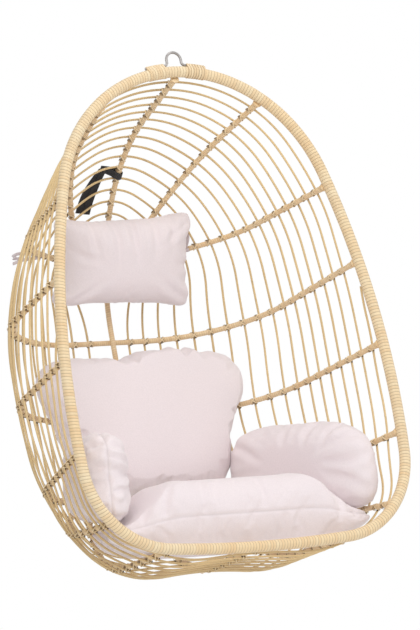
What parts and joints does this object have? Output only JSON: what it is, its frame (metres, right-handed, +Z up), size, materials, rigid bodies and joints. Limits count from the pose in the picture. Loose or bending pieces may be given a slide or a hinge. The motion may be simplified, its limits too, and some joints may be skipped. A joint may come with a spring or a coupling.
{
  "type": "hanging egg chair",
  "caption": "Egg-shaped hanging chair: wound rattan rim, inner ribs with outer canes lashed to them, steel hanging loop, safety strap and padded cushions.",
  "frame": {"origin": "hook seat: the underside of the hanging loop's crown, in the middle plane of the chair", "axes": "+Z up as the chair hangs, the open front faces -Y, +X is to the right as seen from the front with the seat facing the viewer"},
  "size_m": [0.8346, 0.7423, 1.1527],
  "materials": {
    "rim_pole": "natural rattan pole",
    "rim_binding": "flat rattan peel wound edge to edge, satin",
    "wrapped_rib": "rattan pole wrapped in thin peel, satin",
    "cane": "round rattan core, satin",
    "lashing": "split rattan peel, satin",
    "end_winding": "split rattan peel, satin",
    "loop_steel": "zinc-grey round bar",
    "strap_webbing": "woven polyester webbing",
    "tie_ribbon": "folded cloth tape",
    "cushion_cloth": "matte plain weave",
    "cushion_fibre": "polyester fibre"
  },
  "bodies": {
    "root": {"rim_pole": "rim_pole", "rim_binding": "rim_binding", "spine": "wrapped_rib", "upper_hoop": "wrapped_rib", "middle_hoop": "wrapped_rib", "lower_hoop": "wrapped_rib", "seat_hoop": "wrapped_rib", "shoulder_rib_right": "wrapped_rib", "shoulder_rib_left": "wrapped_rib", "corner_rib_right": "wrapped_rib", "corner_rib_left": "wrapped_rib", "base_rib_right": "wrapped_rib", "base_rib_left": "wrapped_rib", "front_cane": "cane", "cane_01": "cane", "cane_02": "cane", "cane_03": "cane", "cane_04": "cane", "cane_05": "cane", "cane_06": "cane", "cane_07": "cane", "cane_08": "cane", "cane_09": "cane", "cane_10": "cane", "cane_11": "cane", "cane_12": "cane", "cane_13": "cane", "cane_14": "cane", "cane_15": "cane", "cane_16": "cane", "cane_17": "cane", "spine_lashings": "lashing", "shoulder_lashings": "lashing", "upper_hoop_lashings": "lashing", "middle_hoop_lashings": "lashing", "lower_hoop_lashings": "lashing", "seat_hoop_lashings": "lashing", "corner_lashings": "lashing", "base_lashings": "lashing", "rib_end_windings": "end_winding", "hanging_loop": "loop_steel", "loop_windings": "end_winding", "safety_strap": "strap_webbing", "pillow_ties": "tie_ribbon", "head_pillow_cover": "cushion_cloth", "head_pillow_filling": "cushion_fibre", "back_cushion_cover": "cushion_cloth", "back_cushion_filling": "cushion_fibre", "seat_cushion_cover": "cushion_cloth", "seat_cushion_filling": "cushion_fibre", "arm_cushion_cover_right": "cushion_cloth", "arm_cushion_filling_right": "cushion_fibre", "arm_cushion_cover_left": "cushion_cloth", "arm_cushion_filling_left": "cushion_fibre"}
  },
  "joints": []
}
